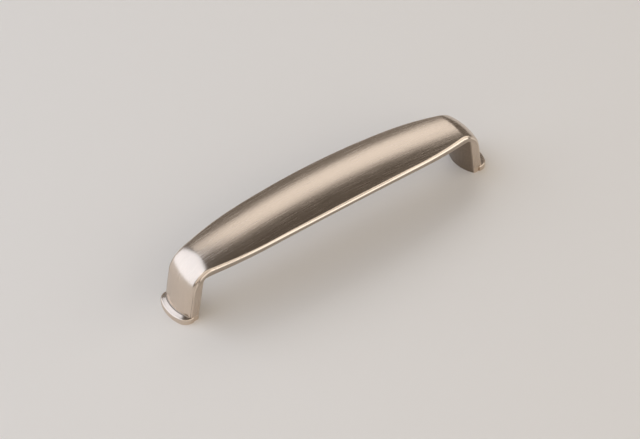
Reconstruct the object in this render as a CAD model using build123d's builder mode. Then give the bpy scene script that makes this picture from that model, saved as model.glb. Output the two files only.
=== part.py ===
from build123d import *
import os
from math import radians, sqrt, tan

# Bow handle for a cabinet door or a drawer front: one metal casting on two feet.
# Millimetres. X runs along the bar, Y across it and Z away from the mounting surface.
# The origin is on that surface, midway between the feet.

# Screw holes in the feet, drilled for an M4 thread
hole_spacing = 128.0
hole_radius = 1.65
hole_depth = 8.0

# Outline seen from above: a lens that runs out into parallel legs
bar_width = 24.6
leg_width = 16.0
shoulder_start = 33.0
shoulder_narrowing = 0.85
lens_setback = 5.8
lens_run_out = 27.0

# Side view: bowed underside and flat side strip, on legs that lean inwards going up
finger_clearance = 23.0
underside_drop = 5.2
strip_height = 1.6
strip_drop = 4.3
leg_lean = 9.5
leg_strip = 3.4
strip_bend = 8.0
strip_round = 0.4
inner_bend = 1.9

# Dome on the outside of bar and legs, with a rolled edge set in from the strip's edge by a ledge
dome_radius = 30.0
dome_edge_round = 0.4
ledge = 0.6
dome_depth = 6.0
dome_foot_round = 0.3

# Feet: crowned heel on the inside, flange round the toe on the outside
heel_reach = 3.0
crown_rise = 2.55
toe_reach = 7.2
toe_radius = 15.8
toe_corner = 4.0
flange_width = 16.8
flange_setback = 1.4
flange_height = 2.4
flange_round = 0.6

# Derived places
hole_x = hole_spacing / 2
bar_half = bar_width / 2
leg_half = leg_width / 2
lean = tan(radians(leg_lean))
heel_x = hole_x - heel_reach
strip_inner_x = heel_x + crown_rise
strip_outer_x = strip_inner_x + leg_strip
toe_x = hole_x + toe_reach
lens_end = hole_x - lens_setback
strip_top = finger_clearance + strip_height
touching = 0.001  # anything closer counts as touching


def arc_radius(half_chord, rise):
    """Radius of an arc from its half chord and its rise."""
    return (half_chord**2 + rise**2) / (2 * rise)


def arc_rise(radius, half_chord):
    """Rise of an arc from its radius and its half chord."""
    return radius - sqrt(radius**2 - half_chord**2)


def shoulder_point(foot_x, top, bow):
    """Point where a leaning leg line from foot_x meets a bow whose middle is at height top."""
    centre = top - bow
    slant = 1 + lean**2
    along = foot_x * lean + centre
    height = (along + sqrt(along**2 - slant * (foot_x**2 + centre**2 - bow**2))) / slant
    return foot_x - lean * height, height


strip_bow = arc_radius(hole_x, strip_drop)
leg_dome_rise = arc_rise(dome_radius, leg_half - ledge) + dome_edge_round
crest_top = strip_top + arc_rise(dome_radius, bar_half - ledge) + dome_edge_round
crest_end = strip_top - arc_rise(strip_bow, lens_end) + leg_dome_rise
crest_bow = arc_radius(lens_end, crest_top - crest_end)
crest_bend = strip_bend + leg_dome_rise
crest_foot_x = strip_outer_x + leg_dome_rise * sqrt(1 + lean**2)
crown_radius = arc_radius(leg_half, crown_rise)
outline_end = toe_x + bar_width
tall = crest_top + bar_width

# Outline of the strip, seen from above
with BuildSketch() as outline:
    with BuildLine():
        middle = ThreePointArc(
            (-shoulder_start, bar_half - shoulder_narrowing),
            (0, bar_half),
            (shoulder_start, bar_half - shoulder_narrowing),
        )
        right = TangentArc(middle @ 1, (lens_end, leg_half), tangent=middle % 1)
        left = TangentArc(middle @ 0, (-lens_end, leg_half), tangent=(middle % 0) * -1)
        Polyline(right @ 1, (outline_end, leg_half), (outline_end, 0))
        Polyline(left @ 1, (-outline_end, leg_half), (-outline_end, 0))
        mirror(about=Plane.XZ)
    make_face()
    waist = outline.vertices().filter_by_position(Axis.X, -lens_end - ledge, lens_end + ledge)
    fillet([v for v in waist if abs(v.X) > shoulder_start + ledge], lens_run_out)

# Dome: one round section swept up one leg, along the bow and down the other leg.
# Its side wall is as high as the round that rolls its edge.
with BuildPart() as dome:
    corner_x, corner_z = shoulder_point(crest_foot_x, crest_top, crest_bow)
    below = -bar_half
    with BuildLine(Plane.XZ) as crest:
        Line((-crest_foot_x + lean * below, below), (-corner_x, corner_z))
        ThreePointArc((-corner_x, corner_z), (0, crest_top), (corner_x, corner_z))
        Line((corner_x, corner_z), (crest_foot_x - lean * below, below))
        fillet(crest.vertices().filter_by_position(Axis.Z, 0, crest_top), crest_bend)
    path = crest.wires()[0]
    with BuildSketch(Plane(path @ 0, x_dir=(0, 1, 0), z_dir=path % 0)):
        with Locations((0, -dome_radius)):
            Circle(dome_radius)
        Rectangle(2 * bar_width, dome_depth, align=(Align.CENTER, Align.MAX), mode=Mode.INTERSECT)
    sweep(path=path)
    with BuildSketch():
        add(outline.sketch)
        offset(amount=-ledge)
    extrude(amount=tall, mode=Mode.INTERSECT)
    sides_and_top = dome.faces().filter_by(Axis.Z, reverse=True)
    top = sides_and_top.filter_by(lambda face: face.distance_to(path) < touching)
    fillet(top.edges().filter_by(lambda edge: abs(edge.center().Y) > ledge), dome_edge_round)

# Space for the fingers: bowed above, with a crowned leg at each end
with BuildPart() as finger_gap:
    crown_x = heel_x + crown_radius
    gap_side = finger_clearance - arc_rise(arc_radius(hole_x, underside_drop), crown_x)
    with BuildSketch(Plane.XZ):
        with BuildLine():
            ThreePointArc((-crown_x, gap_side), (0, finger_clearance), (crown_x, gap_side))
            Polyline((crown_x, gap_side), (crown_x, -bar_half), (-crown_x, -bar_half), (-crown_x, gap_side))
        make_face()
    extrude(amount=bar_width, both=True)
    with BuildSketch():
        add(outline.sketch)
        offset(amount=ledge)
    extrude(amount=tall, both=True, mode=Mode.INTERSECT)
    for side in (1, -1):
        with BuildSketch(Plane((side * crown_x, 0, 0), x_dir=(0, 1, 0), z_dir=(-side * lean, 0, 1))):
            Circle(crown_radius)
        extrude(amount=tall, both=True, mode=Mode.SUBTRACT)
    roof = finger_gap.faces().sort_by(Axis.Z)[-1]
    fillet(roof.edges().filter_by_position(Axis.Y, -ledge, ledge), inner_bend)

# Flange round the toe of one foot
with BuildPart() as flange:
    flange_half = flange_width / 2
    flange_end = strip_outer_x - flange_setback
    toe_side = toe_x - arc_rise(toe_radius, flange_half)
    with BuildSketch():
        with BuildLine():
            ThreePointArc((toe_side, -flange_half), (toe_x, 0), (toe_side, flange_half))
            Polyline((toe_side, flange_half), (flange_end, flange_half), (flange_end, 0))
            Polyline((toe_side, -flange_half), (flange_end, -flange_half), (flange_end, 0))
        make_face()
        fillet(vertices().group_by(Axis.X)[-1], toe_corner)
    extrude(amount=flange_height)
    rim = flange.faces().sort_by(Axis.Z)[-1].edges().sort_by(Axis.X)[1:]
    fillet(rim, flange_round)

# The casting
with BuildPart() as handle:
    corner_x, corner_z = shoulder_point(strip_outer_x, strip_top, strip_bow)
    with BuildSketch(Plane.XZ) as side_view:
        with BuildLine():
            ThreePointArc((-corner_x, corner_z), (0, strip_top), (corner_x, corner_z))
            Polyline((corner_x, corner_z), (strip_outer_x, 0), (-strip_outer_x, 0), (-corner_x, corner_z))
        make_face()
        fillet(side_view.vertices().group_by(Axis.Y)[-1], strip_bend)
    extrude(amount=bar_width, both=True)
    with BuildSketch():
        add(outline.sketch)
    extrude(amount=tall, mode=Mode.INTERSECT)
    side_edges = handle.edges().filter_by(Axis.Z, reverse=True).filter_by(Axis.Y, reverse=True)
    fillet(side_edges.filter_by_position(Axis.Z, strip_round, tall), strip_round)
    add(dome.part)
    add(flange.part)
    mirror(flange.part, about=Plane.YZ)
    toe_tops = handle.faces().filter_by(Axis.Z).group_by(Axis.Z)[1]
    dome_feet = [top.edges().filter_by(GeomType.ELLIPSE).sort_by(SortBy.LENGTH)[-1] for top in toe_tops]
    fillet(dome_feet, dome_foot_round)
    add(finger_gap.part, mode=Mode.SUBTRACT)
    with Locations(*[Plane((x, 0, 0), z_dir=(0, 0, -1)) for x in (-hole_x, hole_x)]):
        Hole(hole_radius, hole_depth)

handle.part.label = "handle"
os.makedirs("parts", exist_ok=True)
export_step(handle.part, "parts/handle.step")
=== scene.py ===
"""Looks of a bow handle: a cast cabinet pull in brushed satin nickel on a plain pale floor."""

import logging
import math
from dataclasses import dataclass
from enum import Enum

import bpy
import numpy as np
from mathutils import Matrix, Vector


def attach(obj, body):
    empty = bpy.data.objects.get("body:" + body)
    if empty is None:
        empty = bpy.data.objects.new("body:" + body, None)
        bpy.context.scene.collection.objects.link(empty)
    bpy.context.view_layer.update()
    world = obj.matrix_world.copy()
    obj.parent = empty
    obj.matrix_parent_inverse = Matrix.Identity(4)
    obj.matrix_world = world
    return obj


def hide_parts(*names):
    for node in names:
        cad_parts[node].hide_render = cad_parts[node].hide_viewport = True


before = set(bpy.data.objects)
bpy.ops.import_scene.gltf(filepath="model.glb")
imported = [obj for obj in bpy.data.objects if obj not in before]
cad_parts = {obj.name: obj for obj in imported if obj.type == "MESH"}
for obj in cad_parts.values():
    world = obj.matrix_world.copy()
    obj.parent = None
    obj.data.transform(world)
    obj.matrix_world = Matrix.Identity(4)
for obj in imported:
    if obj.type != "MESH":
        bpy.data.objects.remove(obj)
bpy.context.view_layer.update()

LOG = logging.getLogger("bow_handle")
MM = 0.001  # metres
IMAGE_WIDTH = 640  # pixels
SENSOR_WIDTH = 36.0  # millimetres

Point = tuple[float, float, float]


class Zone(Enum):
    """Stretches of the handle, from the middle of the bar to the sole of a foot."""

    BAR = "bar"
    BEND = "bend"
    LEG = "leg"
    DOME_FILLET = "fillet between dome and flange"
    FLANGE_TOP = "sloping top of the flange"
    FLANGE_RIM = "rounded rim of the flange"
    FLANGE_WALL = "upright wall of the flange"


class Band(Enum):
    """Lengthwise bands round the section, from the dome's crest to the middle of the inside."""

    DOME = "dome"
    ROLL = "rolled edge of the dome"
    SEAM = "seam between dome and strip"
    CHAMFER = "sloping shoulder of the strip"
    EDGE = "rounded edge of the strip"
    WALL = "side wall of the strip"
    INSIDE = "inside of bar and legs"


class Mark(Enum):
    """Places where the finish differs or shade is painted, each an attribute of the casting's mesh."""

    RUBBED = "rubbed"
    # The seam's dark colour is painted shade in its crease.
    SEAM = "seam"
    # Dull as cast, and painted darker there as painted shade.
    DULL_AND_SHADED = "dull"


def hex_to_linear(code: str) -> tuple[float, float, float, float]:
    """Turns an sRGB hex colour into a linear one, by the curve of the sRGB standard.

    Args:
        code: Six hex digits with a leading #.

    Returns:
        Linear red, green, blue and an alpha of 1.
    """
    parts = [int(code[i : i + 2], 16) / 255 for i in (1, 3, 5)]
    red, green, blue = (p / 12.92 if p <= 0.04045 else ((p + 0.055) / 1.055) ** 2.4 for p in parts)
    return red, green, blue, 1.0


def add_node(
    tree: bpy.types.NodeTree, kind: str, settings: dict | None = None, inputs: dict | None = None
) -> bpy.types.Node:
    """Adds one shader node with its settings and links.

    Args:
        tree: Node tree that takes the node.
        kind: Type name of the node.
        settings: Properties of the node by name.
        inputs: Input sockets by name or number; a socket as value is linked, anything else is set.

    Returns:
        The new node.
    """
    node = tree.nodes.new(kind)
    for name, value in (settings or {}).items():
        setattr(node, name, value)
    for name, value in (inputs or {}).items():
        if isinstance(value, bpy.types.NodeSocket):
            tree.links.new(value, node.inputs[name])
        else:
            node.inputs[name].default_value = value
    return node


def arc_radius(half_chord: float, rise: float) -> float:
    """Radius of an arc from its half chord and its rise."""
    return (half_chord**2 + rise**2) / (2 * rise)


def arc_rise(radius: float, half_chord: float) -> float:
    """Rise of an arc from its radius and its half chord."""
    return radius - math.sqrt(radius**2 - half_chord**2)


def mix(start: tuple[float, ...], end: tuple[float, ...], share: float) -> tuple[float, ...]:
    """Point at a share of the way from start to end."""
    return tuple(a + (b - a) * share for a, b in zip(start, end))


def shares(count: int) -> list[float]:
    """Shares of a stretch cut in count equal steps, without its start."""
    return [(i + 1) / count for i in range(count)]


@dataclass(frozen=True)
class SatinNickel:
    """Satin nickel plating on cast zinc: brushed lengthwise outside, dull as cast elsewhere, with painted
    shade in the seam, on the sides and inside.

    Sizes of its marks and grain are in millimetres.
    """

    colour: str = "#e6d7c8"
    streak_colour: str = "#cfc0b1"
    rubbed_colour: str = "#f6ebde"
    painted_seam_shade: str = "#5a4c40"
    dull_shaded_colour: str = "#7d7064"
    dull_shaded_grain_colour: str = "#a09386"
    roughness_low: float = 0.19
    roughness_high: float = 0.29
    rubbed_roughness: float = 0.12
    seam_roughness: float = 0.6
    dull_roughness: float = 0.42
    anisotropy: float = 0.5
    brush_mark_width: float = 0.4
    brush_mark_length: float = 14.0
    brush_mark_depth: float = 0.008
    brush_mark_detail: float = 3.0
    brush_mark_contrast: float = 0.6
    brush_mark_low: float = 0.3
    brush_mark_high: float = 0.7
    brush_turn: float = 0.25
    cast_grain: float = 0.9
    cast_grain_detail: float = 4.0
    cast_grain_contrast: float = 0.65

    def material(self) -> bpy.types.Material:
        """Makes the finish as a node material.

        Returns:
            The material, reading the casting's own map of millimetres along and across the brushing.
        """
        material = bpy.data.materials.new("satin_nickel")
        material.use_nodes = True
        tree = material.node_tree
        shader = tree.nodes["Principled BSDF"]
        # Brushed nickel is a warm grey metal with fine streaks along the brushing, and its highlights
        # are soft bands that spread across them, which the quarter turn of the anisotropy gives.
        shader.inputs["Metallic"].default_value = 1.0
        shader.inputs["Anisotropic"].default_value = self.anisotropy
        shader.inputs["Anisotropic Rotation"].default_value = self.brush_turn
        chart = add_node(tree, "ShaderNodeUVMap", {"uv_map": "UVMap"})
        tangent = add_node(tree, "ShaderNodeTangent", {"direction_type": "UV_MAP", "uv_map": "UVMap"})
        # Real brush marks are about a tenth of a millimetre wide; these are coarser, so that they show.
        scale = (1 / self.brush_mark_length, 1 / self.brush_mark_width, 1.0)
        stretched = add_node(
            tree, "ShaderNodeMapping", None,
            {"Vector": chart.outputs["UV"], "Scale": scale},
        )
        marks = add_node(
            tree, "ShaderNodeTexNoise", None,
            {
                "Vector": stretched.outputs["Vector"],
                "Scale": 1.0,
                "Detail": self.brush_mark_detail,
                "Roughness": self.brush_mark_contrast,
            },
        )
        tint = add_node(
            tree, "ShaderNodeMix", {"data_type": "RGBA"},
            {
                "Factor": marks.outputs["Fac"],
                "A": hex_to_linear(self.streak_colour),
                "B": hex_to_linear(self.colour),
            },
        )
        gloss = add_node(
            tree, "ShaderNodeMapRange", None,
            {
                "Value": marks.outputs["Fac"],
                "From Min": self.brush_mark_low,
                "From Max": self.brush_mark_high,
                "To Min": self.roughness_low,
                "To Max": self.roughness_high,
            },
        )
        bump = add_node(
            tree, "ShaderNodeBump", None,
            {"Height": marks.outputs["Fac"], "Strength": 1.0, "Distance": self.brush_mark_depth * MM},
        )
        # The sides and the inside are left as cast, with a dull and slightly mottled skin, and their
        # colour is painted darker as painted shade. Real grain is a few tenths of a millimetre wide; this
        # is coarser, so that it shows.
        grain = add_node(
            tree, "ShaderNodeTexNoise", None,
            {
                "Vector": chart.outputs["UV"],
                "Scale": 1 / self.cast_grain,
                "Detail": self.cast_grain_detail,
                "Roughness": self.cast_grain_contrast,
            },
        )
        shaded_cast_skin = add_node(
            tree, "ShaderNodeMix", {"data_type": "RGBA"},
            {
                "Factor": grain.outputs["Fac"],
                "A": hex_to_linear(self.dull_shaded_colour),
                "B": hex_to_linear(self.dull_shaded_grain_colour),
            },
        )
        # Hands rub the shoulders bright. The seam is painted dark as painted shade in its crease, and the
        # sides and inside are painted darker as painted shade on their dull cast skin.
        colour, roughness = tint.outputs["Result"], gloss.outputs["Result"]
        changes = (
            (Mark.RUBBED, hex_to_linear(self.rubbed_colour), self.rubbed_roughness),
            (Mark.SEAM, hex_to_linear(self.painted_seam_shade), self.seam_roughness),
            (Mark.DULL_AND_SHADED, shaded_cast_skin.outputs["Result"], self.dull_roughness),
        )
        for mark, changed_colour, changed_roughness in changes:
            share = add_node(tree, "ShaderNodeAttribute", {"attribute_name": mark.value}).outputs["Fac"]
            colour = add_node(
                tree, "ShaderNodeMix", {"data_type": "RGBA"},
                {"Factor": share, "A": colour, "B": changed_colour},
            ).outputs["Result"]
            roughness = add_node(
                tree, "ShaderNodeMapRange", None,
                {"Value": share, "To Min": roughness, "To Max": changed_roughness},
            ).outputs["Result"]
        tree.links.new(colour, shader.inputs["Base Color"])
        tree.links.new(roughness, shader.inputs["Roughness"])
        tree.links.new(bump.outputs["Normal"], shader.inputs["Normal"])
        tree.links.new(tangent.outputs["Tangent"], shader.inputs["Tangent"])
        return material


@dataclass(frozen=True)
class Rail:
    """Line of the side view, in millimetres: half a bow, a bend and a leg that leans inwards."""

    foot_x: float
    top: float
    bow: float
    bend: float
    lean: float

    @property
    def centre(self) -> tuple[float, float]:
        """Centre of the bend, touching both the bow and the leg from inside."""
        cosine, sine = math.cos(self.lean), math.sin(self.lean)
        bow_z = self.top - self.bow
        across = cosine * self.foot_x - self.bend - sine * bow_z
        along = math.sqrt((self.bow - self.bend) ** 2 - across**2)
        return cosine * across - sine * along, bow_z + sine * across + cosine * along

    def at(self, zone: Zone, share: float) -> tuple[float, float, float, float]:
        """Place and outward normal on the bow or the bend.

        Args:
            zone: BAR for the bow, BEND for the bend.
            share: How far along that zone, from 0 towards the middle to 1 towards the foot.

        Returns:
            x, z, and the normal's x and z.
        """
        centre_x, centre_z = self.centre
        start = math.asin(centre_x / (self.bow - self.bend))
        if zone is Zone.BAR:
            x = share * self.bow * math.sin(start)
            tilt = math.asin(x / self.bow)
            return x, self.top - arc_rise(self.bow, x), math.sin(tilt), math.cos(tilt)
        tilt = start + share * (math.pi / 2 - self.lean - start)
        sine, cosine = math.sin(tilt), math.cos(tilt)
        return centre_x + self.bend * sine, centre_z + self.bend * cosine, sine, cosine


@dataclass(frozen=True)
class DomeArc:
    """Section of the dome, in millimetres: a wide arc that rolls over to end on the strip.

    It has the wide arc's radius, half its own width, its rise above the strip and its roll's radius.
    """

    radius: float
    half: float
    rise: float
    roll: float

    def at(self, band: Band, place: float) -> Point:
        """Point of the section.

        Args:
            band: DOME for the wide arc, ROLL for its rolled edge.
            place: Place across the band, from 0 towards the crest to 1.

        Returns:
            Distance out from the middle, depth below the crest and tilt away from the crest.
        """
        edge_up = self.radius - self.rise
        reach, span = self.radius - self.roll, math.hypot(self.half, edge_up)
        back = math.acos((reach**2 + span**2 - self.roll**2) / (2 * reach * span))
        start = math.atan2(self.half, edge_up) - back
        if band is Band.DOME:
            y = place * self.radius * math.sin(start)
            return y, arc_rise(self.radius, y), math.asin(y / self.radius)
        centre_y, centre_depth = reach * math.sin(start), self.radius - reach * math.cos(start)
        end = math.atan2(self.half - centre_y, centre_depth - self.rise)
        tilt = start + place * (end - start)
        return centre_y + self.roll * math.sin(tilt), centre_depth - self.roll * math.cos(tilt), tilt


@dataclass(frozen=True)
class MeshDetail:
    """How finely the casting is meshed: steps across each band and along each zone of one quarter.

    Edges are smooth up to smooth_angle, in degrees. Points that are touching, in millimetres, are one,
    and points within hole_margin of a screw hole belong to it.
    """

    dome_steps: int = 30
    roll_steps: int = 6
    edge_steps: int = 5
    wall_steps: int = 4
    inside_steps: int = 14
    bar_steps: int = 64
    bend_steps: int = 28
    leg_steps: int = 14
    fillet_steps: int = 6
    flange_top_steps: int = 5
    flange_rim_steps: int = 5
    flange_wall_steps: int = 2
    hole_steps: int = 48
    smooth_angle: float = 35.0
    touching: float = 0.001
    hole_margin: float = 0.01


@dataclass(frozen=True)
class WearAndShade:
    """How strongly wear and painted shade change the finish in places, from 0 for not at all to 1."""

    shoulder_at_bend_end: float = 0.3
    seam_at_bend_end: float = 0.4
    seam_at_flange: float = 0.5
    seam_under_dome: float = 0.8
    bar_side: float = 0.6
    leg_side: float = 0.2


@dataclass
class Handle:
    """The casting: domed bar, strip, legs and flanged feet; sizes in millimetres, angles in degrees."""

    # Screw holes in the feet
    hole_spacing: float = 128.0
    hole_radius: float = 1.65
    hole_depth: float = 8.0

    # Outline seen from above: a lens that runs out into parallel legs
    bar_width: float = 24.6
    leg_width: float = 16.0
    shoulder_start: float = 33.0
    shoulder_narrowing: float = 0.85
    lens_setback: float = 5.8
    lens_run_out: float = 27.0

    # Side view: bowed underside and strip, on legs that lean inwards going up
    finger_clearance: float = 23.0
    underside_drop: float = 5.2
    strip_height: float = 1.6
    strip_drop: float = 4.3
    leg_lean: float = 9.5
    leg_strip: float = 3.4
    strip_bend: float = 10.0
    inner_bend: float = 1.9

    # Edge of the strip: a sloping shoulder outside the dome, rounded over into the side wall
    ledge: float = 0.42
    shoulder_slope: float = 40.0
    strip_round: float = 0.15

    # Dome: inset and edge round set the crest's height, and the edge's roll softens towards the bends
    dome_radius: float = 30.0
    dome_inset: float = 0.6
    dome_edge_round: float = 0.4
    bar_roll: float = 0.8
    leg_roll: float = 1.5
    roll_growth: int = 4
    foot_radius: float = 15.0
    foot_bulge: float = 1.0
    dome_foot_round: float = 0.3

    # Seam between dome and strip, all but closed along the bar
    seam_width: float = 0.24
    seam_sink: float = 0.2
    closed_seam: float = 0.1

    # Feet: crowned heel inside, sloping flange round the toe outside
    heel_reach: float = 3.0
    crown_rise: float = 2.55
    toe_reach: float = 7.2
    toe_radius: float = 15.8
    toe_corner: float = 4.0
    flange_width: float = 16.8
    flange_setback: float = 1.4
    flange_height: float = 2.4
    flange_round: float = 0.6
    flange_slope: float = 18.0
    tip_slope: float = 0.15

    detail: MeshDetail = MeshDetail()
    wear_and_shade: WearAndShade = WearAndShade()

    def __post_init__(self) -> None:
        """Works out the places that follow from the sizes."""
        self.hole_x = self.hole_spacing / 2
        self.bar_half = self.bar_width / 2
        self.leg_half = self.leg_width / 2
        self.lean = math.radians(self.leg_lean)
        self.slope = math.tan(self.lean)
        self.slant = math.sqrt(1 + self.slope**2)
        self.shoulder = math.radians(self.shoulder_slope)
        heel_x = self.hole_x - self.heel_reach
        self.strip_x = heel_x + self.crown_rise + self.leg_strip
        self.toe_x = self.hole_x + self.toe_reach
        self.crown_radius = arc_radius(self.leg_half, self.crown_rise)
        self.crown_x = heel_x + self.crown_radius
        self.inside_bow = arc_radius(self.hole_x, self.underside_drop)
        lens_end = self.hole_x - self.lens_setback
        self.set_rails(lens_end)
        self.set_outline(lens_end)
        self.set_flange()
        self.threads = self.list_threads()
        self.stations = self.list_stations()

    def set_rails(self, lens_end: float) -> None:
        """Works out the side view's lines of strip and crest, and the dome's section at a foot.

        Args:
            lens_end: Where the crest is as high above the strip as on the legs.
        """
        leg_rise = arc_rise(self.dome_radius, self.leg_half - self.dome_inset) + self.dome_edge_round
        bar_rise = arc_rise(self.dome_radius, self.bar_half - self.dome_inset) + self.dome_edge_round
        strip_top = self.finger_clearance + self.strip_height
        strip_bow = arc_radius(self.hole_x, self.strip_drop)
        crest_top = strip_top + bar_rise
        crest_end = strip_top - arc_rise(strip_bow, lens_end) + leg_rise
        crest_bow = arc_radius(lens_end, crest_top - crest_end)
        crest_x = self.strip_x + leg_rise * self.slant
        crest_bend = self.strip_bend + leg_rise
        self.strip_rail = Rail(self.strip_x, strip_top, strip_bow, self.strip_bend, self.lean)
        self.crest_rail = Rail(crest_x, crest_top, crest_bow, crest_bend, self.lean)
        foot_rise = leg_rise + self.foot_bulge
        foot_half = self.leg_half - self.ledge
        self.foot_x = self.strip_x + foot_rise * self.slant
        self.foot_arc = DomeArc(self.foot_radius, foot_half, foot_rise, self.leg_roll)

    def set_outline(self, lens_end: float) -> None:
        """Works out the arcs of the outline seen from above.

        Args:
            lens_end: Where the shoulder arcs would meet the straight legs.
        """
        self.middle_radius = arc_radius(self.shoulder_start, self.shoulder_narrowing)
        turn = math.asin(self.shoulder_start / self.middle_radius)
        start_y = self.bar_half - self.shoulder_narrowing
        run, fall = lens_end - self.shoulder_start, start_y - self.leg_half
        self.shoulder_radius = (run**2 + fall**2) / (2 * (fall * math.cos(turn) - run * math.sin(turn)))
        self.shoulder_centre = (
            self.shoulder_start - self.shoulder_radius * math.sin(turn),
            start_y - self.shoulder_radius * math.cos(turn),
        )
        reach = self.shoulder_radius + self.lens_run_out
        waist_y = self.leg_half + self.lens_run_out
        rise = waist_y - self.shoulder_centre[1]
        waist_x = self.shoulder_centre[0] + math.sqrt(reach**2 - rise**2)
        self.waist_centre = (waist_x, waist_y)
        share = self.shoulder_radius / reach
        self.waist_start = self.shoulder_centre[0] + (waist_x - self.shoulder_centre[0]) * share

    def outline_half(self, x: float) -> float:
        """Half width of the handle, seen from above, at a place along it."""
        if x <= self.shoulder_start:
            return self.bar_half - arc_rise(self.middle_radius, x)
        if x <= self.waist_start:
            centre_x, centre_y = self.shoulder_centre
            return centre_y + math.sqrt(self.shoulder_radius**2 - (x - centre_x) ** 2)
        centre_x, centre_y = self.waist_centre
        if x <= centre_x:
            return centre_y - math.sqrt(self.lens_run_out**2 - (x - centre_x) ** 2)
        return self.leg_half

    def set_flange(self) -> None:
        """Works out the flange's outline, and how far its tip reaches along the leg's side wall."""
        half = self.flange_width / 2
        self.flange_end = self.strip_x - self.flange_setback
        self.toe_centre_x = self.toe_x - self.toe_radius
        corner_y = half - self.toe_corner
        corner_run = math.sqrt((self.toe_radius - self.toe_corner) ** 2 - corner_y**2)
        self.corner_centre = (self.toe_centre_x + corner_run, corner_y)
        self.corner_turn = math.atan2(corner_y, corner_run)
        edge_run = self.edge_place(Band.EDGE, 1.0)[1] * self.slant
        self.wall_run = self.leg_strip - edge_run
        tip_run = self.flange_setback - edge_run - self.slope * self.flange_height
        self.tip_share = tip_run / self.wall_run

    def flange_outline(self, share: float) -> tuple[float, float, float, float]:
        """Point on the flange's outline and its outward normal, seen from above.

        Half the outline is half the toe's arc, a corner arc and a short straight side.

        Args:
            share: From 0 at the middle of the toe to 1 at the tip beside the leg.

        Returns:
            x, y, and the normal's x and y.
        """
        toe_length = self.toe_radius * self.corner_turn
        corner_length = self.toe_corner * (math.pi / 2 - self.corner_turn)
        corner_x, corner_y = self.corner_centre
        side_length = corner_x - self.flange_end
        length = share * (toe_length + corner_length + side_length)
        if length <= toe_length:
            turn = length / self.toe_radius
            x, y = math.cos(turn), math.sin(turn)
            return self.toe_centre_x + self.toe_radius * x, self.toe_radius * y, x, y
        if length <= toe_length + corner_length:
            turn = self.corner_turn + (length - toe_length) / self.toe_corner
            x, y = math.cos(turn), math.sin(turn)
            return corner_x + self.toe_corner * x, corner_y + self.toe_corner * y, x, y
        return corner_x - (length - toe_length - corner_length), self.flange_width / 2, 0.0, 1.0

    def list_threads(self) -> list[tuple[Band, float]]:
        """Lengthwise lines of the mesh, from the dome's crest to the middle of the inside."""
        detail = self.detail
        threads = [(Band.DOME, 0.0)] + [(Band.DOME, s) for s in shares(detail.dome_steps)]
        threads += [(Band.ROLL, s) for s in shares(detail.roll_steps)]
        threads += [(Band.SEAM, 0.0), (Band.CHAMFER, 0.0), (Band.CHAMFER, 1.0)]
        threads += [(Band.EDGE, s) for s in shares(detail.edge_steps)]
        past_tip = self.tip_share + self.tip_slope / self.wall_run
        walls = [self.tip_share / 2, self.tip_share, past_tip]
        walls += [past_tip + (1 - past_tip) * s for s in shares(detail.wall_steps)]
        threads += [(Band.WALL, s) for s in walls]
        return threads + [(Band.INSIDE, 1 - s) for s in shares(detail.inside_steps)]

    def list_stations(self) -> list[tuple[Zone, float]]:
        """Crosswise rings of the mesh, from the middle of the bar to the sole of a foot."""
        detail = self.detail
        counts = {
            Zone.BAR: detail.bar_steps,
            Zone.BEND: detail.bend_steps,
            Zone.LEG: detail.leg_steps,
            Zone.DOME_FILLET: detail.fillet_steps,
            Zone.FLANGE_TOP: detail.flange_top_steps,
            Zone.FLANGE_RIM: detail.flange_rim_steps,
            Zone.FLANGE_WALL: detail.flange_wall_steps,
        }
        return [(Zone.BAR, 0.0)] + [(zone, s) for zone, count in counts.items() for s in shares(count)]

    def upper_point(self, zone: Zone, share: float, band: Band, place: float) -> Point:
        """Point of a thread on the bar or a bend.

        Args:
            zone: BAR or BEND.
            share: How far along the zone.
            band: Band of the thread.
            place: Place of the thread across its band.

        Returns:
            x, y and z for the right half with y from 0 up.
        """
        if band in (Band.DOME, Band.ROLL):
            x, z, normal_x, normal_z = self.crest_rail.at(zone, share)
            strip_x, strip_z, _, _ = self.strip_rail.at(zone, share)
            rise = (x - strip_x) * normal_x + (z - strip_z) * normal_z
            softer = share**self.roll_growth if zone is Zone.BAR else 1.0
            roll = self.bar_roll + (self.leg_roll - self.bar_roll) * softer
            arc = DomeArc(self.dome_radius, self.outline_half(x) - self.ledge, rise, roll)
            y, depth, _ = arc.at(band, place)
            return x - depth * normal_x, y, z - depth * normal_z
        if band in (Band.SEAM, Band.CHAMFER, Band.EDGE):
            x, z, normal_x, normal_z = self.strip_rail.at(zone, share)
            opening = self.closed_seam
            if zone is Zone.BEND:
                opening += (1 - opening) * share
            inset, depth = self.edge_place(band, place, opening)
            return x - depth * normal_x, self.outline_half(x) - inset, z - depth * normal_z
        if band is Band.WALL:
            outer = self.upper_point(zone, share, Band.EDGE, 1.0)
            inner = self.upper_point(zone, share, Band.INSIDE, 1.0)
            x, _, z = mix(outer, inner, place)
            return x, self.outline_half(x), z
        foot_x = self.inside_foot(place)
        rail = Rail(foot_x, self.finger_clearance, self.inside_bow, self.inner_bend, self.lean)
        x, z, _, _ = rail.at(zone, share)
        return x, place * self.outline_half(x), z

    def edge_place(self, band: Band, place: float, opening: float = 1.0) -> tuple[float, float]:
        """Place of a thread on the strip.

        Args:
            band: SEAM, CHAMFER or EDGE.
            place: Place of the thread across its band.
            opening: How far the seam is open, up to 1.

        Returns:
            How far the thread is in from the outline and down from the strip's face.
        """
        if band is Band.SEAM:
            return self.ledge - self.seam_width * opening / 2, self.seam_sink * opening
        start = self.ledge - self.seam_width * opening
        end = self.strip_round * (1 - math.sin(self.shoulder))
        fall = (self.ledge - end) * math.tan(self.shoulder)
        if band is Band.CHAMFER:
            return start + (end - start) * place, fall * place
        turn = self.shoulder + place * (math.pi / 2 - self.shoulder)
        drop = self.strip_round * (math.cos(self.shoulder) - math.cos(turn))
        return self.strip_round * (1 - math.sin(turn)), fall + drop

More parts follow.
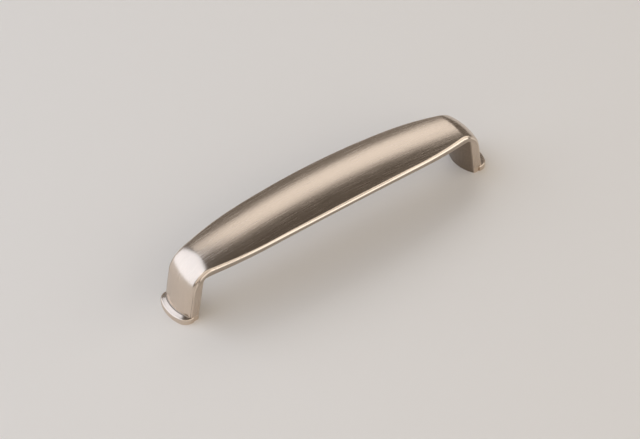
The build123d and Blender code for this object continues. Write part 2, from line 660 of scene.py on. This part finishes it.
    def inside_foot(self, place: float) -> float:
        """Where the crowned inside of a leg meets the mounting surface."""
        run = math.sqrt(self.crown_radius**2 - (place * self.leg_half) ** 2)
        return self.crown_x - self.slant * run

    def leg_line(self, band: Band, place: float) -> tuple[float, float]:
        """x on the mounting surface and y of a thread's straight run down a leg."""
        if band in (Band.DOME, Band.ROLL):
            y, depth, _ = self.foot_arc.at(band, place)
            return self.foot_x - depth * self.slant, y
        if band in (Band.SEAM, Band.CHAMFER, Band.EDGE):
            inset, depth = self.edge_place(band, place)
            return self.strip_x - depth * self.slant, self.leg_half - inset
        if band is Band.WALL:
            return mix(self.leg_line(Band.EDGE, 1.0), self.leg_line(Band.INSIDE, 1.0), place)
        return self.inside_foot(place), place * self.leg_half

    def on_leg(self, band: Band, place: float, z: float) -> Point:
        """Point of a thread's straight run at a height above the mounting surface."""
        x, y = self.leg_line(band, place)
        return x - self.slope * z, y, z

    def foot_point(
        self, zone: Zone, share: float, band: Band, place: float, reach: float, drop: float
    ) -> Point:
        """Point of a thread in the foot.

        Args:
            zone: One of the four zones of the foot.
            share: How far along the zone.
            band: Band of the thread.
            place: Place of the thread across its band.
            reach: The thread's share of the flange's outline, over 1 for threads beside the flange.
            drop: How far along the whole foot, for threads beside the flange.

        Returns:
            x, y and z for the right foot with y from 0 up.
        """
        rim, rim_top = self.flange_round, self.flange_height
        on_dome = band in (Band.DOME, Band.ROLL)
        # The fillet turns from the leaning dome to the flange, a tangent's length from their corner.
        tilt = self.foot_arc.at(band, place)[2] if on_dome else 0.0
        lean = math.atan(self.slope * math.cos(tilt))
        tangent = self.dome_foot_round * math.tan((math.pi / 2 - lean) / 2)
        start_z = rim_top + tangent * math.cos(lean)
        # Beside the flange a thread runs straight down to the sole.
        if reach > 1:
            return self.on_leg(band, place, start_z * (1 - drop))
        # The flange's top rises from its rim to the leg, higher where the flange is wider.
        edge_x, edge_y, normal_x, normal_y = self.flange_outline(reach)
        root = self.on_leg(band, place, rim_top)
        room = (edge_x - root[0]) * normal_x + (edge_y - root[1]) * normal_y
        top = rim_top + max(room - rim - tangent, 0.0) * math.tan(math.radians(self.flange_slope))
        start_z += top - rim_top
        root = self.on_leg(band, place, top)
        if on_dome:
            root = (root[0] + tangent * math.cos(tilt), root[1] + tangent * math.sin(tilt), top)
        if zone is Zone.DOME_FILLET:
            if not on_dome:
                return mix(self.on_leg(band, place, start_z), root, share)
            turn = math.pi + lean + share * (math.pi / 2 - lean)
            run = self.dome_foot_round * math.cos(turn)
            height = self.dome_foot_round * (1 + math.sin(turn))
            return root[0] + run * math.cos(tilt), root[1] + run * math.sin(tilt), top + height
        if zone is Zone.FLANGE_WALL:
            return edge_x, edge_y, (rim_top - rim) * (1 - share)
        # Near the tip the flange is narrower than its rim's round, which then starts part of the way over.
        room = (edge_x - root[0]) * normal_x + (edge_y - root[1]) * normal_y
        depth = min(rim, max(room, 0.0))
        first = math.asin(1 - depth / rim)
        turn = first + (share if zone is Zone.FLANGE_RIM else 0.0) * (math.pi / 2 - first)
        inset, height = rim * (1 - math.sin(turn)), rim_top - rim * (1 - math.cos(turn))
        point = (edge_x - inset * normal_x, edge_y - inset * normal_y, height)
        return mix(root, point, share) if zone is Zone.FLANGE_TOP else point

    def thread_lengths(self) -> list[float]:
        """Distance of each thread from the dome's crest, measured round the leg's section."""
        lengths, last = [], None
        for band, place in self.threads:
            x, y = self.leg_line(band, place)
            lengths.append(0.0 if last is None else lengths[-1] + math.hypot(x - last[0], y - last[1]))
            last = (x, y)
        return lengths

    def half_skin(self) -> np.ndarray:
        """Points of one half of one side, indexed by station and thread, in millimetres."""
        lengths = self.thread_lengths()
        tip = self.threads.index((Band.WALL, self.tip_share))
        above = (Zone.BAR, Zone.BEND, Zone.LEG)
        foot = [i for i, (zone, _) in enumerate(self.stations) if zone not in above]
        skin = np.zeros((len(self.stations), len(self.threads), 3))
        for j, (band, place) in enumerate(self.threads):
            reach = lengths[j] / lengths[tip] if j <= tip else math.inf
            bend_end = self.upper_point(Zone.BEND, 1.0, band, place)
            leg_end = self.foot_point(Zone.DOME_FILLET, 0.0, band, place, reach, 0.0)
            for i, (zone, share) in enumerate(self.stations):
                if zone in (Zone.BAR, Zone.BEND):
                    skin[i, j] = self.upper_point(zone, share, band, place)
                elif zone is Zone.LEG:
                    skin[i, j] = mix(bend_end, leg_end, share)
                else:
                    drop = (i - foot[0] + 1) / len(foot)
                    skin[i, j] = self.foot_point(zone, share, band, place, reach, drop)
        return skin

    @staticmethod
    def mirror(half: np.ndarray, across: tuple | float = 1.0, along: tuple | float = 1.0) -> np.ndarray:
        """Spreads values for one half of one side over the whole skin.

        Args:
            half: Values indexed by station and thread.
            across: Factor for the values on the other half of the section.
            along: Factor for the values on the other side of the handle.

        Returns:
            Values from sole to sole and once round the section.
        """
        right = np.concatenate([half[:, :0:-1] * np.array(across), half], axis=1)
        return np.concatenate([right[:0:-1] * np.array(along), right], axis=0)

    def whole_skin(self) -> np.ndarray:
        """Points of the whole skin, from sole to sole and once round the section, in millimetres."""
        return self.mirror(self.half_skin(), (1, -1, 1), (-1, 1, 1))

    def mask(self, ends: dict[Zone, tuple[float, float]], bands: tuple[Band, ...]) -> np.ndarray:
        """Marks out some bands along some zones.

        Args:
            ends: Share of the mark at the start and the end of each zone that has it.
            bands: Bands that have it.

        Returns:
            Shares from 0 to 1, for each point of the skin.
        """
        along = []
        for zone, share in self.stations:
            start, end = ends.get(zone, (0.0, 0.0))
            along.append(start + (end - start) * share)
        across = [float(band in bands) for band, _ in self.threads]
        return self.mirror(np.outer(along, across))

    def finish_masks(self) -> dict[Mark, np.ndarray]:
        """Where the finish differs or shade is painted, as shares from 0 to 1 for each point of the skin.
        """
        wear_and_shade = self.wear_and_shade
        shoulders = {Zone.BAR: (1.0, 1.0), Zone.BEND: (1.0, wear_and_shade.shoulder_at_bend_end)}
        # The seam's darkening is painted shade: in the crease between dome and strip down the bends and
        # legs, and in the fillet where the dome meets the flange.
        seam = {
            Zone.BEND: (0.0, wear_and_shade.seam_at_bend_end),
            Zone.LEG: (1.0, 1.0),
            Zone.DOME_FILLET: (1.0, wear_and_shade.seam_at_flange),
        }
        foot_seam_shade = {Zone.DOME_FILLET: (0.0, wear_and_shade.seam_under_dome)}
        # The sides are painted darker along the bar than on the legs, as painted shade.
        sides = {
            Zone.BAR: (wear_and_shade.bar_side, wear_and_shade.bar_side),
            Zone.BEND: (wear_and_shade.bar_side, wear_and_shade.leg_side),
            Zone.LEG: (wear_and_shade.leg_side, wear_and_shade.leg_side),
        }
        everywhere = {zone: (1.0, 1.0) for zone in Zone}
        beside_dome = self.mask(seam, (Band.SEAM,))
        under_dome = self.mask(foot_seam_shade, (Band.DOME, Band.ROLL))
        dull_shaded_sides = self.mask(sides, (Band.WALL,))
        dull_shaded_inside = self.mask(everywhere, (Band.INSIDE,))
        return {
            Mark.RUBBED: self.mask(shoulders, (Band.CHAMFER,)),
            Mark.SEAM: np.maximum(beside_dome, under_dome),
            Mark.DULL_AND_SHADED: np.maximum(dull_shaded_sides, dull_shaded_inside),
        }

    def build(self) -> bpy.types.Object:
        """Models the casting as one closed mesh.

        Returns:
            The finished object, at the origin, with a map of millimetres along and across the skin.
        """
        # The section of dome, seam, strip and flange changes all the way along, so no chain of extrudes
        # gives them as one smooth skin. A flat grid is wrapped round them by formula instead, which also
        # gives the brushing an even map.
        skin = self.whole_skin()
        rings, around = skin.shape[0], skin.shape[1]
        bpy.ops.object.select_all(action="DESELECT")
        bpy.ops.mesh.primitive_grid_add(x_subdivisions=rings - 1, y_subdivisions=around - 1, size=1.0)
        piece = bpy.context.object
        piece.name = piece.data.name = "handle_casting"
        self.wrap(piece, skin)
        bpy.ops.object.mode_set(mode="EDIT")
        bpy.ops.mesh.select_all(action="SELECT")
        bpy.ops.mesh.remove_doubles(threshold=self.detail.touching * MM)
        for side in (-1, 1):
            self.close_foot(piece, side)
        bpy.ops.mesh.select_all(action="SELECT")
        bpy.ops.mesh.normals_make_consistent(inside=False)
        bpy.ops.object.mode_set(mode="OBJECT")
        bpy.ops.object.shade_smooth_by_angle(angle=math.radians(self.detail.smooth_angle))
        return piece

    def dress(self, piece: bpy.types.Object, finish: SatinNickel) -> None:
        """Gives the casting its finish."""
        piece.data.materials.append(finish.material())

    def wrap(self, piece: bpy.types.Object, skin: np.ndarray) -> None:
        """Wraps a flat grid round the handle and maps it in millimetres.

        Args:
            piece: Grid one metre wide, with a row of vertices for each ring of the skin.
            skin: Points of the skin.
        """
        mesh = piece.data
        rings, around = skin.shape[0], skin.shape[1]
        flat = np.zeros(len(mesh.vertices) * 3)
        mesh.vertices.foreach_get("co", flat)
        # The grid runs from -0.5 to 0.5 both ways.
        flat = flat.reshape(-1, 3) + 0.5
        ring = np.rint(flat[:, 0] * (rings - 1)).astype(int)
        thread = np.rint(flat[:, 1] * (around - 1)).astype(int)
        mesh.vertices.foreach_set("co", (skin[ring, thread] * MM).ravel())
        steps = np.linalg.norm(np.diff(skin, axis=1), axis=2)
        across = np.concatenate([np.zeros((rings, 1)), np.cumsum(steps, axis=1)], axis=1)
        middle = around // 2
        across -= across[:, middle : middle + 1]
        crest = np.linalg.norm(np.diff(skin[:, middle], axis=0), axis=1)
        along = np.concatenate([[0.0], np.cumsum(crest)])
        corner = np.zeros(len(mesh.loops), dtype=int)
        mesh.loops.foreach_get("vertex_index", corner)
        chart = np.stack([along[ring[corner]], across[ring[corner], thread[corner]]], axis=1)
        mesh.uv_layers.active.data.foreach_set("uv", chart.ravel())
        for mark, values in self.finish_masks().items():
            layer = mesh.attributes.new(mark.value, "FLOAT", "POINT")
            layer.data.foreach_set("value", values[ring, thread])
        mesh.update()

    def close_foot(self, piece: bpy.types.Object, side: int) -> None:
        """Closes the sole of one foot round its blind screw hole.

        Args:
            piece: The casting, in edit mode.
            side: 1 for the right foot, -1 for the left.
        """
        bpy.ops.mesh.select_all(action="DESELECT")
        bpy.ops.mesh.primitive_circle_add(
            vertices=self.detail.hole_steps,
            radius=self.hole_radius * MM,
            location=(side * self.hole_x * MM, 0, 0),
        )
        self.select_level(piece, side, 0.0)
        bpy.ops.mesh.fill(use_beauty=True)
        bpy.ops.mesh.select_all(action="DESELECT")
        self.select_level(piece, side, self.hole_radius)
        upwards = (0, 0, self.hole_depth * MM)
        bpy.ops.mesh.extrude_edges_move(TRANSFORM_OT_translate={"value": upwards})
        bpy.ops.mesh.edge_face_add()

    def select_level(self, piece: bpy.types.Object, side: int, radius: float) -> None:
        """Selects the edges of one sole.

        Args:
            piece: The casting, in edit mode.
            side: 1 for the right foot, -1 for the left.
            radius: Only edges within this distance of the screw hole, or all open edges if 0.
        """
        bpy.ops.mesh.select_mode(type="EDGE")
        bpy.ops.object.mode_set(mode="OBJECT")
        mesh = piece.data
        uses = np.zeros(len(mesh.edges), dtype=int)
        np.add.at(uses, [edge for face in mesh.polygons for edge in self.face_edges(mesh, face)], 1)
        hole = Vector((side * self.hole_x * MM, 0, 0))
        touching = self.detail.touching * MM
        nearest = (radius + self.detail.hole_margin) * MM
        for edge in mesh.edges:
            ends = [mesh.vertices[v].co for v in edge.vertices]
            level = all(abs(p.z) < touching and p.x * side > 0 for p in ends)
            near = all((p - hole).length < nearest for p in ends)
            is_open = bool(uses[edge.index] < 2)
            edge.select = level and (near if radius else is_open)
        bpy.ops.object.mode_set(mode="EDIT")

    @staticmethod
    def face_edges(mesh: bpy.types.Mesh, face: bpy.types.MeshPolygon) -> list[int]:
        """Numbers of a face's edges."""
        return [mesh.loops[i].edge_index for i in face.loop_indices]


@dataclass(frozen=True)
class Softbox:
    """A soft rectangular studio lamp that faces the handle; sizes in metres, angles in degrees.

    Its brightness is that of its face, where 1 shows as white.
    """

    name: str
    azimuth: float
    elevation: float
    turn: float
    distance: float
    width: float
    height: float
    brightness: float
    colour: str

    def hang(self) -> None:
        """Adds the lamp to the scene."""
        lamp = bpy.data.lights.new(self.name, "AREA")
        lamp.shape = "RECTANGLE"
        lamp.size, lamp.size_y = self.width, self.height
        lamp.energy = self.brightness * math.pi * self.width * self.height
        lamp.color = hex_to_linear(self.colour)[:3]
        stand = bpy.data.objects.new(self.name, lamp)
        bpy.context.scene.collection.objects.link(stand)
        around, above = math.radians(self.azimuth), math.radians(self.elevation)
        level = Vector((math.cos(around), math.sin(around), 0.0))
        back = level * math.cos(above) + Vector((0.0, 0.0, math.sin(above)))
        side = Vector((-math.sin(around), math.cos(around), 0.0))
        axes = Matrix((side, back.cross(side), back)).transposed().to_4x4()
        turned = axes @ Matrix.Rotation(math.radians(self.turn), 4, "Z")
        stand.matrix_world = Matrix.Translation(back * self.distance) @ turned
        stand.visible_camera = False


@dataclass(frozen=True)
class Studio:
    """Pale floor, dim room and soft lamps; the floor's size is in metres.

    The ceiling's start and end are sines of the elevation.
    """

    floor_size: float = 12.0
    floor_colour: str = "#f2ede6"
    floor_roughness: float = 0.6
    horizon_colour: str = "#736c65"
    ceiling_colour: str = "#564f48"
    room_strength: float = 1.0
    ceiling_start: float = 0.25
    ceiling_end: float = 0.75

    def lay_floor(self) -> None:
        """Adds the floor, which isn't part of the object."""
        bpy.ops.object.select_all(action="DESELECT")
        bpy.ops.mesh.primitive_plane_add(size=self.floor_size)
        floor = bpy.context.object
        floor.name = floor.data.name = "floor"
        material = bpy.data.materials.new("pale_floor")
        material.use_nodes = True
        shader = material.node_tree.nodes["Principled BSDF"]
        shader.inputs["Base Color"].default_value = hex_to_linear(self.floor_colour)
        shader.inputs["Roughness"].default_value = self.floor_roughness
        floor.data.materials.append(material)

    def light_room(self) -> None:
        """Gives the room a soft grade from the horizon up to a darker ceiling."""
        world = bpy.data.worlds.new("room")
        bpy.context.scene.world = world
        world.use_nodes = True
        tree = world.node_tree
        direction = add_node(tree, "ShaderNodeTexCoord")
        height = add_node(
            tree, "ShaderNodeSeparateXYZ", None,
            {"Vector": direction.outputs["Generated"]},
        )
        rise = add_node(
            tree, "ShaderNodeMapRange", {"interpolation_type": "SMOOTHSTEP"},
            {"Value": height.outputs["Z"], "From Min": self.ceiling_start, "From Max": self.ceiling_end},
        )
        grade = add_node(
            tree, "ShaderNodeMix", {"data_type": "RGBA"},
            {
                "Factor": rise.outputs["Result"],
                "A": hex_to_linear(self.horizon_colour),
                "B": hex_to_linear(self.ceiling_colour),
            },
        )
        background = tree.nodes["Background"]
        background.inputs["Strength"].default_value = self.room_strength
        tree.links.new(grade.outputs["Result"], background.inputs["Color"])

    def hang_lamps(self) -> None:
        """Hangs a long lamp behind the bar, a large one by its end, and a fill and a wide one in front."""
        lamps = (
            Softbox(
                name="long_lamp", azimuth=53.0, elevation=41.5, turn=38.0, distance=1.2,
                width=0.98, height=0.62, brightness=1.06, colour="#fffcf9",
            ),
            Softbox(
                name="large_lamp", azimuth=141.0, elevation=33.0, turn=0.0, distance=1.3,
                width=1.75, height=2.1, brightness=1.52, colour="#e4eeff",
            ),
            Softbox(
                name="fill_lamp", azimuth=-135.0, elevation=38.0, turn=0.0, distance=1.4,
                width=1.6, height=1.5, brightness=0.75, colour="#fff8f0",
            ),
            Softbox(
                name="front_lamp", azimuth=-50.0, elevation=30.0, turn=0.0, distance=1.4,
                width=2.4, height=1.1, brightness=1.15, colour="#fffaf2",
            ),
        )
        for lamp in lamps:
            lamp.hang()

    def set_up(self) -> None:
        """Builds floor, room and lamps."""
        self.lay_floor()
        self.light_room()
        self.hang_lamps()


@dataclass(frozen=True)
class PhotoCamera:
    """Camera at the photograph's viewing angle.

    Angles are in degrees, lengths in millimetres and the focal length in pixels.
    """

    azimuth: float = 36.743
    elevation: float = 45.118
    roll: float = 0.399
    offset_right: float = 3.143
    offset_down: float = 4.191
    distance: float = 750.255
    focal: float = 2027.97
    nearest: float = 10.0

    def set_up(self) -> None:
        """Adds the camera and makes it the scene's own."""
        around, above, roll = (math.radians(a) for a in (self.azimuth, self.elevation, self.roll))
        right = Vector((math.cos(around), -math.sin(around), 0))
        level = Vector((math.sin(around), math.cos(around), 0))
        ahead = level * math.cos(above) - Vector((0, 0, math.sin(above)))
        down = ahead.cross(right)
        place = -(right * self.offset_right + down * self.offset_down + ahead * self.distance) * MM
        rolled_right = right * math.cos(roll) - down * math.sin(roll)
        rolled_down = right * math.sin(roll) + down * math.cos(roll)
        lens = bpy.data.cameras.new("camera")
        lens.sensor_width = SENSOR_WIDTH
        lens.sensor_fit = "HORIZONTAL"
        lens.lens = self.focal / IMAGE_WIDTH * SENSOR_WIDTH
        lens.clip_start = self.nearest * MM
        camera = bpy.data.objects.new("camera", lens)
        bpy.context.scene.collection.objects.link(camera)
        turn = Matrix((rolled_right, -rolled_down, -ahead)).transposed().to_4x4()
        camera.matrix_world = Matrix.Translation(place) @ turn
        bpy.context.scene.camera = camera


def main() -> None:
    """Builds the camera, the handle and the studio in order."""
    logging.basicConfig(level=logging.INFO, format="%(name)s: %(message)s")
    bpy.context.scene.view_settings.view_transform = "Standard"
    PhotoCamera().set_up()
    handle = Handle()
    casting = handle.build()
    handle.dress(casting, SatinNickel())
    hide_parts("handle")
    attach(casting, "root")
    LOG.info("%s: %d faces", casting.name, len(casting.data.polygons))
    Studio().set_up()


if __name__ == "__main__":
    main()
